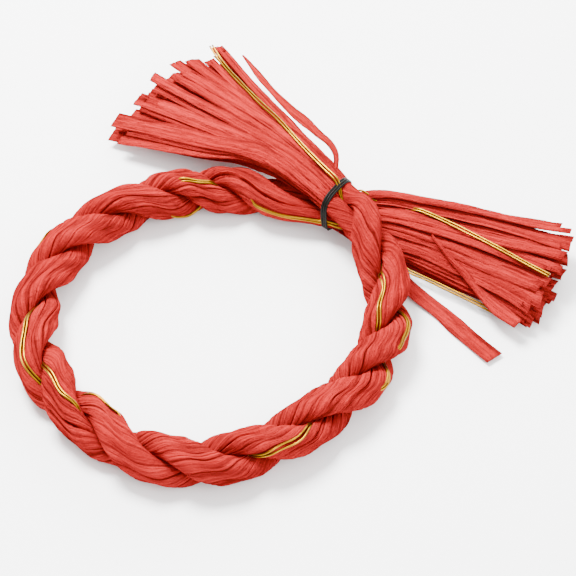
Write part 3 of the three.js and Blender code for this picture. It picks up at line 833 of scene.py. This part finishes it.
def gold_tail(strand, name, ribbons):
    """The middle line of a gold pair's run out over a tassel, beyond the tie, or nothing where it has none."""
    points = gold_routes[name][strand]
    if not points:
        return None
    seat, _, out = gold_seat(strand, [rope_length + 2.0])
    root = np.array(gold_over_tie) if name == "left" else seat[0] + out[0] * gold_rise
    plan = route([tuple(root[:2]), *points], tail_steps)[tail_first:]
    share = np.linspace(0.03, 1, len(plan))
    if name == "right" and strand == 0:
        z = root[2] + (gold_edge_height - root[2]) * smooth(share * 3)
    else:
        tops = heap_tops(plan, ribbons)
        tops = np.where(np.isfinite(tops), tops, root[2])
        rank = tail_ranks[0] + tail_ranks[1] * (1 - smooth(share * 3))
        near = [tops[max(0, i - tail_window):i + tail_window + 1] for i in range(len(tops))]
        z = softened(np.array([np.percentile(n, r) for n, r in zip(near, rank)]), 60) + tail_rise
        z = root[2] + (z - root[2]) * smooth(share * 14)
        if name == "right":
            z = z - tail_dip * smooth(share * 8) * (1 - smooth((share - tail_dip_end) / tail_dip_ease))
    return np.column_stack([plan, z])


def gold_pair(strand, ribbons):
    """Two threads side by side along a strand's fold and out over the tassels."""
    radius = ring_sizes().gold_thread / MM / 2
    first = gold_from_tie if gold_routes["left"][strand] else -gold_past_tie
    run = np.arange(first, rope_length + gold_past_tie, gold_step)
    line, across, outs = gold_seat(strand, run)
    directions = across
    before = 0
    for name in ("left", "right"):
        tail = gold_tail(strand, name, ribbons)
        if tail is None:
            continue
        ahead = np.gradient(tail, axis=0)
        flat = np.column_stack([-ahead[:, 1], ahead[:, 0], np.zeros(len(tail))])
        flat /= np.linalg.norm(flat, axis=1)[:, None]
        flat *= 1 if np.dot(flat[0], across[0 if name == "left" else -1]) > 0 else -1
        up = np.tile(straight_up, (len(tail), 1))
        joined = ((line, tail), (directions, flat), (outs, up))
        if name == "left":
            before = len(tail)
            line, directions, outs = (np.concatenate([more[::-1], laid]) for laid, more in joined)
        else:
            line, directions, outs = (np.concatenate(pair) for pair in joined)
    for k in range(3):
        directions[:, k] = softened(directions[:, k], 3)
        line[:, k] = softened(line[:, k], 2)
    directions /= np.linalg.norm(directions, axis=1)[:, None]
    travelled = run_length(line)
    reached = np.interp(np.arange(len(line)), before + np.arange(len(run)), Frames(run).travel)
    spread = sum(more * np.exp(-(((reached - at) / ease) ** 4)) for at, ease, more in gold_spread[strand])
    lines = []
    for side in (-1, 1):
        wander = 0.25 * waves(travelled, 3 * strand + 2, 46) + 0.1 * waves(travelled, strand + side, 30)
        gap = radius * (gold_gap + wander) + spread
        thread = line + directions * (side * gap)[:, None] + outs * (gold_crossed * side)
        size = radius * (1 + 0.05 * waves(travelled, 9 + strand + side, 11))
        lines.append((thread, size, outs))
    return lines


def wire_lines():
    """The binding wire: turns round the crossing, and its two ends twisted together underneath."""
    radius = ring_sizes().wire_thickness / MM / 2
    heading = math.radians(wire_heading)
    across = np.array([-math.sin(heading), math.cos(heading), 0])
    along = np.array([math.cos(heading), math.sin(heading), 0])
    ends = Frames([0.0, rope_length])
    centre = ends.middle.mean(0)
    cross = math.acos(min(1, abs(float(np.dot(ends.along[0], along)))))
    wide = (bound_strand["offset"] + bound_strand["depth"]) / math.cos(cross) + wire_room[0] + radius
    high = (ends.middle[0, 2] - ends.middle[1, 2]) / 2 + bound_strand["breadth"] + wire_room[1] + radius
    index = np.arange(0, wire_turns * wire_steps + 1)
    a = 2 * math.pi * index / wire_steps - math.pi / 2
    m = wire_squareness
    r = (np.abs(np.cos(a) / wide) ** m + np.abs(np.sin(a) / high) ** m) ** (-1 / m)
    shift = (index / wire_steps - wire_turns / 2) * wire_pitch
    shift = shift + wire_slack["shift"] * np.sin(a * 2 + 0.6)
    r = r + wire_slack["radius"] * waves(index.astype(float), 5, 90)
    line = centre + across * (r * np.cos(a))[:, None] + along * shift[:, None]
    line = line + straight_up * (r * np.sin(a))[:, None]
    out = line - centre
    out -= along * (out @ along)[:, None]
    out /= np.linalg.norm(out, axis=1)[:, None]
    lines = [(line, radius, out)]
    base = centre - straight_up * (high + 0.1)
    twist = np.linspace(0, 1, twist_steps)
    spin = 0.95 * radius * smooth(twist * 6)
    for side in (0, math.pi):
        angle = 2 * math.pi * twist_turns * twist + side
        apart = (1 if side else -1) * twist_join * (1 - smooth(twist * 6))
        path = base + across * (twist_span[0] - twist_span[1] * twist)[:, None]
        path = path + along * (spin * np.cos(angle) + apart)[:, None]
        path = path + straight_up * (spin * np.sin(angle) - twist_drop)[:, None]
        path[:, 2] = np.maximum(path[:, 2], radius + 0.2)
        lines.append((path, radius, np.tile(along, (len(path), 1))))
    return lines


# Materials

def group_tree(name, inputs, outputs):
    """A shader node group with its sockets, and its input and output nodes."""
    tree = bpy.data.node_groups.new(name, "ShaderNodeTree")
    for label, kind, value in inputs:
        socket = tree.interface.new_socket(label, in_out="INPUT", socket_type=kind)
        socket.default_value = value
    for label, kind in outputs:
        tree.interface.new_socket(label, in_out="OUTPUT", socket_type=kind)
    return tree, tree.nodes.new("NodeGroupInput"), tree.nodes.new("NodeGroupOutput")


def feed(tree, socket, source):
    """Links a source to a socket, or sets the socket where the source is a plain value."""
    if isinstance(source, bpy.types.NodeSocket):
        tree.links.new(source, socket)
    else:
        socket.default_value = source


def maths(tree, operation, *sources):
    """The result of a maths node."""
    node = tree.nodes.new("ShaderNodeMath")
    node.operation = operation
    for socket, source in zip(node.inputs, sources):
        feed(tree, socket, source)
    return node.outputs[0]


def clamped(tree, value):
    """The value held between 0 and 1."""
    node = tree.nodes.new("ShaderNodeClamp")
    tree.links.new(value, node.inputs[0])
    return node.outputs[0]


def mixed(tree, factor, a, b):
    """A colour between two others."""
    node = tree.nodes.new("ShaderNodeMix")
    node.data_type = "RGBA"
    for socket, source in ((0, factor), (6, a), (7, b)):
        feed(tree, node.inputs[socket], source)
    return node.outputs[2]


def stretched_noise(tree, place, along, across, detail, rough):
    """Noise drawn out along the straw: how many changes in each millimetre along it and across it."""
    scale = tree.nodes.new("ShaderNodeVectorMath")
    scale.operation = "MULTIPLY"
    tree.links.new(place, scale.inputs[0])
    scale.inputs[1].default_value = (along, across, 5.3)
    noise = tree.nodes.new("ShaderNodeTexNoise")
    tree.links.new(scale.outputs[0], noise.inputs["Vector"])
    for label, value in (("Scale", 1.0), ("Detail", detail), ("Roughness", rough)):
        noise.inputs[label].default_value = value
    return noise.outputs["Fac"]


def paper_group():
    """Grain of crumpled paper straw: fine fibres and pleats along it and slow changes of tone, with painted shade in
    the pleat valleys and where the mesh marks painted shade.
    """
    if "Paper straw grain and shade" in bpy.data.node_groups:
        return bpy.data.node_groups["Paper straw grain and shade"]
    tree, given, result = group_tree(
        "Paper straw grain and shade",
        [("Place", "NodeSocketVector", (0, 0, 0)), ("Painted shade", "NodeSocketFloat", 0.0),
         ("Paper", "NodeSocketColor", (0.68, 0.05, 0.04, 1)), ("Pale", "NodeSocketColor", (0.85, 0.15, 0.12, 1)),
         ("Shade colour", "NodeSocketColor", (0.25, 0.01, 0.008, 1)), ("Pleat depth", "NodeSocketFloat", 1.0)],
        [("Color", "NodeSocketColor"), ("Height", "NodeSocketFloat"), ("Roughness", "NodeSocketFloat")],
    )

    def value(operation, *sources):
        return maths(tree, operation, *sources)

    given = given.outputs
    pleats = stretched_noise(tree, given["Place"], 0.025, 0.5, 3, 0.6)
    fibres = stretched_noise(tree, given["Place"], 0.2, 3.2, 2, 0.6)
    crumple = stretched_noise(tree, given["Place"], 0.7, 1.3, 3, 0.7)
    tone = stretched_noise(tree, given["Place"], 0.025, 0.2, 2, 0.5)
    sharp = value("ABSOLUTE", value("SUBTRACT", pleats, 0.5))
    ridge = value("MULTIPLY", sharp, given["Pleat depth"])
    height = value("ADD", value("MULTIPLY", ridge, 2.2), value("MULTIPLY", fibres, 0.45))
    height = value("ADD", height, value("MULTIPLY", crumple, 0.9))
    pale = value("ADD", value("MULTIPLY_ADD", tone, 1.6, -0.55), value("MULTIPLY_ADD", fibres, 2.0, -1.0))
    colour = mixed(tree, clamped(tree, pale), given["Paper"], given["Pale"])
    # Painted shade: the colour turns towards the shade colour in the pleat valleys and where the mesh marks painted
    # shade
    pleat_valley_shade = value("SUBTRACT", 1.0, value("MULTIPLY", sharp, 11.0))
    pleat_valley_shade = value("MULTIPLY", value("MAXIMUM", pleat_valley_shade, 0.0), 0.5)
    sunk = value("MINIMUM", value("ADD", value("MULTIPLY", given["Painted shade"], 0.75), pleat_valley_shade), 1.0)
    colour = mixed(tree, sunk, colour, given["Shade colour"])
    rough = value("MULTIPLY_ADD", fibres, 0.22, 0.42)
    for label, source in (("Color", colour), ("Height", height), ("Roughness", rough)):
        tree.links.new(source, result.inputs[label])
    return tree


def opaque(colour, shares=(1, 1, 1)):
    """A colour with each channel at its share, and full opacity."""
    return (*(c * share for c, share in zip(colour, shares)), 1.0)


def new_material(name):
    """A material with its node tree, its shader and the straw's own coordinates."""
    material = bpy.data.materials.new(name)
    material.use_nodes = True
    tree = material.node_tree
    place = tree.nodes.new("ShaderNodeAttribute")
    place.attribute_name = "fibre"
    return material, tree, tree.nodes["Principled BSDF"], place.outputs["Vector"]


def add_bump(tree, shader, height, strength, distance):
    """Gives a shader the fine relief of a height."""
    bump = tree.nodes.new("ShaderNodeBump")
    bump.inputs["Strength"].default_value = strength
    bump.inputs["Distance"].default_value = distance
    tree.links.new(height, bump.inputs["Height"])
    tree.links.new(bump.outputs["Normal"], shader.inputs["Normal"])


def paper_material(name, pleat):
    """Crumpled paper, with pleats as deep as given."""
    sizes = ring_sizes()
    material, tree, shader, place = new_material(name)
    grain = tree.nodes.new("ShaderNodeGroup")
    grain.node_tree = paper_group()
    painted_shade = tree.nodes.new("ShaderNodeAttribute")
    painted_shade.attribute_name = "painted_shade"
    tree.links.new(place, grain.inputs["Place"])
    tree.links.new(painted_shade.outputs["Fac"], grain.inputs["Painted shade"])
    grain.inputs["Paper"].default_value = opaque(sizes.paper_colour)
    grain.inputs["Pale"].default_value = opaque(sizes.paper_pale)
    # This colour is painted shade, not the paper's own colour
    grain.inputs["Shade colour"].default_value = opaque(sizes.paper_shade)
    grain.inputs["Pleat depth"].default_value = pleat
    add_bump(tree, shader, grain.outputs["Height"], sizes.grain_strength, 0.0013)
    tree.links.new(grain.outputs["Color"], shader.inputs["Base Color"])
    tree.links.new(grain.outputs["Roughness"], shader.inputs["Roughness"])
    shader.inputs["Specular IOR Level"].default_value = 0.0
    return material


def gold_material():
    """Gold foil wound round a thread, with painted shade on the side turned away from its out direction, and darker in
    slow patches of tone.
    """
    gold = ring_sizes().gold_colour
    material, tree, shader, place = new_material("gold_foil")
    wraps = stretched_noise(tree, place, 1.2, 3.0, 2, 0.6)
    slow = stretched_noise(tree, place, 0.12, 2.2, 1, 0.5)
    parts = tree.nodes.new("ShaderNodeSeparateXYZ")
    tree.links.new(place, parts.inputs[0])
    # Painted shade: darker on the side turned away from the thread's out direction, with slow random patches of tone
    drift = maths(tree, "MULTIPLY_ADD", slow, 1.6, -0.9)
    drift = maths(tree, "ADD", drift, maths(tree, "MULTIPLY", parts.outputs[1], 1.1))
    colour = mixed(tree, clamped(tree, drift), opaque(gold, (0.3, 0.22, 0.15)), opaque(gold))
    add_bump(tree, shader, wraps, 0.15, 0.0002)
    tree.links.new(colour, shader.inputs["Base Color"])
    tree.links.new(maths(tree, "MULTIPLY_ADD", wraps, 0.2, 0.22), shader.inputs["Roughness"])
    shader.inputs["Metallic"].default_value = 1.0
    return material


def wire_material():
    """The wire's dark coat, worn in places."""
    wire = ring_sizes().wire_colour
    material, tree, shader, place = new_material("dark_wire")
    worn = stretched_noise(tree, place, 0.8, 3.0, 3, 0.6)
    colour = mixed(tree, worn, opaque(wire), opaque(wire, (2.6, 2.6, 2.4)))
    tree.links.new(colour, shader.inputs["Base Color"])
    tree.links.new(maths(tree, "MULTIPLY_ADD", worn, 0.3, 0.25), shader.inputs["Roughness"])
    shader.inputs["Specular IOR Level"].default_value = 0.06
    add_bump(tree, shader, worn, 0.2, 0.0002)
    return material


def dress(piece, material, slot, *nodes):
    """Gives a piece its finish, and ties it to the part."""
    piece.data.materials.append(material)
    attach(piece, "root")
    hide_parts(*nodes)
    return piece


def papers():
    """The two papers: tightly laid in the rope, and looser in the tassels."""
    made = bpy.data.materials
    if "rope_paper" in made:
        return made["rope_paper"], made["tassel_paper"]
    return paper_material("rope_paper", 1.0), paper_material("tassel_paper", 0.8)


class StrawRingSizes(bpy.types.PropertyGroup):
    """Sizes and colours of the straw ring."""

    ribbon_width: bpy.props.FloatProperty(
        name="Ribbon width", description="Width of one flattened paper straw", default=0.006, min=0.002,
        max=0.02, subtype="DISTANCE", unit="LENGTH")
    ribbon_thickness: bpy.props.FloatProperty(
        name="Ribbon thickness", description="Thickness of one folded paper straw", default=0.00045, min=0.0001,
        max=0.002, subtype="DISTANCE", unit="LENGTH")
    ribbons_per_half_tassel: bpy.props.IntProperty(
        name="Ribbons per half tassel", description="Ribbons that each strand sends into each tassel", default=30,
        min=4, max=60)
    ribbons_per_strand: bpy.props.IntProperty(
        name="Ribbons per strand", description="Ribbons that show round one strand of the rope", default=13, min=5,
        max=30)
    creases_per_strand: bpy.props.IntProperty(
        name="Creases per strand", description="Deep folds along one strand of the rope", default=150, min=0, max=300)
    gold_thread: bpy.props.FloatProperty(
        name="Gold thread", description="Diameter of one gold thread", default=0.00078, min=0.0002, max=0.002,
        subtype="DISTANCE", unit="LENGTH")
    wire_thickness: bpy.props.FloatProperty(
        name="Wire thickness", description="Diameter of the binding wire", default=0.00085, min=0.0002, max=0.002,
        subtype="DISTANCE", unit="LENGTH")
    paper_colour: bpy.props.FloatVectorProperty(
        name="Paper", description="Colour of the paper straw", default=(0.3, 0.012, 0.0115), size=3, min=0, max=1,
        subtype="COLOR")
    paper_pale: bpy.props.FloatVectorProperty(
        name="Pale paper", description="Colour where the paper is stretched thin", default=(0.43, 0.024, 0.022), size=3,
        min=0, max=1, subtype="COLOR")
    # Colour of the painted shade in the paper's folds
    paper_shade: bpy.props.FloatVectorProperty(
        name="Painted paper shade", description="Colour of the painted shade deep in the folds", default=(0.1, 0.0045, 0.004), size=3, min=0,
        max=1, subtype="COLOR")
    gold_colour: bpy.props.FloatVectorProperty(
        name="Gold", description="Colour of the gold foil", default=(0.33, 0.155, 0.0025), size=3, min=0, max=1,
        subtype="COLOR")
    wire_colour: bpy.props.FloatVectorProperty(
        name="Wire", description="Colour of the binding wire's coat", default=(0.0035, 0.0035, 0.003), size=3, min=0,
        max=1, subtype="COLOR")
    grain_strength: bpy.props.FloatProperty(
        name="Grain strength", description="How strongly the paper's fine pleats catch the light", default=1.0, min=0,
        max=1, subtype="FACTOR")
    key_power: bpy.props.FloatProperty(
        name="Key light", description="Power of the soft key light", default=58.0, min=0, max=200, subtype="POWER",
        unit="POWER")


class STRAWRING_OT_rope(bpy.types.Operator):
    """Builds the two twisted strands of the rope"""

    bl_idname = "straw_ring.rope"
    bl_label = "Build rope strands"

    def execute(self, context):
        rope, _ = papers()
        for strand in (0, 1):
            piece = tubes_mesh(f"rope_strand_{strand + 1}", [rope_rings(strand)])
            dress(piece, rope, "paper_straw", f"straw_strand_{strand + 1}")
        return {"FINISHED"}


class STRAWRING_OT_tassels(bpy.types.Operator):
    """Builds the fanned ribbons of both tassels"""

    bl_idname = "straw_ring.tassels"
    bl_label = "Build tassels"

    def execute(self, context):
        thickness = context.scene.straw_ring_sizes.ribbon_thickness / MM
        _, paper = papers()
        for name in ("left", "right"):
            for strand in (0, 1):
                tubes = [ribbon_rings(ribbon, thickness) for ribbon in tassel_ribbons(name, strand)]
                piece = tubes_mesh(f"{name}_tassel_{strand + 1}", tubes)
                dress(piece, paper, "paper_straw", f"straw_strand_{strand + 1}")
        return {"FINISHED"}


class STRAWRING_OT_strays(bpy.types.Operator):
    """Builds the ribbons that stray from the tassels"""

    bl_idname = "straw_ring.strays"
    bl_label = "Build stray ribbons"

    def execute(self, context):
        thickness = context.scene.straw_ring_sizes.ribbon_thickness / MM
        _, paper = papers()
        for name, node, ribbon in stray_ribbons():
            dress(tubes_mesh(name, [ribbon_rings(ribbon, thickness)]), paper, "paper_straw", node)
        return {"FINISHED"}


class STRAWRING_OT_gold(bpy.types.Operator):
    """Lays the gold threads in the folds of the strands and over the tassels"""

    bl_idname = "straw_ring.gold"
    bl_label = "Build gold threads"

    def execute(self, context):
        gold = gold_material()
        ribbons = [r for name in tassels for strand in (0, 1) for r in tassel_ribbons(name, strand)]
        for strand in (0, 1):
            tubes = thread_tubes(gold_pair(strand, ribbons), thread_sides)
            piece = tubes_mesh(f"gold_threads_{strand + 1}", tubes)
            dress(piece, gold, "gold_foil", f"gold_cord_{strand + 1}")
        return {"FINISHED"}


class STRAWRING_OT_wire(bpy.types.Operator):
    """Winds the binding wire round the crossing"""

    bl_idname = "straw_ring.wire"
    bl_label = "Build binding wire"

    def execute(self, context):
        piece = tubes_mesh("binding_wire", thread_tubes(wire_lines(), wire_sides))
        dress(piece, wire_material(), "dark_wire", "tie_wire")
        return {"FINISHED"}


class STRAWRING_OT_stage(bpy.types.Operator):
    """Sets the pale floor, the soft studio lights and the camera"""

    bl_idname = "straw_ring.stage"
    bl_label = "Set stage"

    def execute(self, context):
        scene = context.scene
        target = Vector((camera_target[0] + ring_centre[0], camera_target[1] + ring_centre[1], 0)) * MM
        elevation, distance = math.radians(camera_elevation), camera_distance * MM
        data = bpy.data.cameras.new("photo_camera")
        data.sensor_width = sensor_width
        data.lens = sensor_width * focal_pixels / picture_pixels
        camera = bpy.data.objects.new("photo_camera", data)
        camera.location = target + Vector((0, -math.cos(elevation), math.sin(elevation))) * distance
        camera.rotation_euler = (math.radians(90) - elevation, 0, 0)
        scene.collection.objects.link(camera)
        scene.camera = camera

        mesh = bpy.data.meshes.new("floor")
        corners = [(x * floor_half, y * floor_half, 0) for x, y in ((-1, -1), (1, -1), (1, 1), (-1, 1))]
        mesh.from_pydata(corners, [], [(0, 1, 2, 3)])
        floor = bpy.data.objects.new("floor", mesh)
        material = bpy.data.materials.new("white_floor")
        material.use_nodes = True
        shader = material.node_tree.nodes["Principled BSDF"]
        shader.inputs["Base Color"].default_value = (floor_white, floor_white, floor_white, 1)
        shader.inputs["Roughness"].default_value = 0.8
        shader.inputs["Specular IOR Level"].default_value = 0.1
        mesh.materials.append(material)
        scene.collection.objects.link(floor)

        power = scene.straw_ring_sizes.key_power
        for name, place, width, share in lights:
            light = bpy.data.lights.new(name, "AREA")
            light.shape = "DISK"
            light.size = width
            light.energy = power * share
            lamp = bpy.data.objects.new(name, light)
            lamp.location = place
            lamp.rotation_euler = (-Vector(place)).to_track_quat("-Z", "Y").to_euler()
            scene.collection.objects.link(lamp)
        world = bpy.data.worlds.new("studio")
        scene.world = world
        world.use_nodes = True
        sky = world.node_tree
        place = sky.nodes.new("ShaderNodeTexCoord")
        parts = sky.nodes.new("ShaderNodeSeparateXYZ")
        sky.links.new(place.outputs["Generated"], parts.inputs[0])
        bright = maths(sky, "MULTIPLY_ADD", maths(sky, "MAXIMUM", parts.outputs[2], 0.0), sky_rise, sky_base)
        sky.nodes["Background"].inputs["Color"].default_value = (1, 1, 1, 1)
        sky.links.new(bright, sky.nodes["Background"].inputs["Strength"])
        return {"FINISHED"}


class STRAWRING_PT_panel(bpy.types.Panel):
    """Sizes, colours and build steps of the straw ring"""

    bl_idname = "STRAWRING_PT_panel"
    bl_label = "Straw Ring"
    bl_space_type = "VIEW_3D"
    bl_region_type = "UI"
    bl_category = "Straw Ring"

    def draw(self, context):
        layout = self.layout
        sizes = context.scene.straw_ring_sizes
        for key in StrawRingSizes.__annotations__:
            layout.prop(sizes, key)
        for step in steps:
            layout.operator(step.bl_idname)


steps = (
    STRAWRING_OT_rope, STRAWRING_OT_tassels, STRAWRING_OT_strays, STRAWRING_OT_gold, STRAWRING_OT_wire,
    STRAWRING_OT_stage,
)
classes = (StrawRingSizes, *steps, STRAWRING_PT_panel)


def register():
    for cls in classes:
        bpy.utils.register_class(cls)
    bpy.types.Scene.straw_ring_sizes = bpy.props.PointerProperty(type=StrawRingSizes)


def unregister():
    del bpy.types.Scene.straw_ring_sizes
    for cls in reversed(classes):
        bpy.utils.unregister_class(cls)


def main():
    register()
    bpy.ops.straw_ring.stage()
    bpy.ops.straw_ring.rope()
    bpy.ops.straw_ring.tassels()
    bpy.ops.straw_ring.strays()
    bpy.ops.straw_ring.gold()
    bpy.ops.straw_ring.wire()
    bpy.context.view_layer.update()


if __name__ == "__main__":
    main()
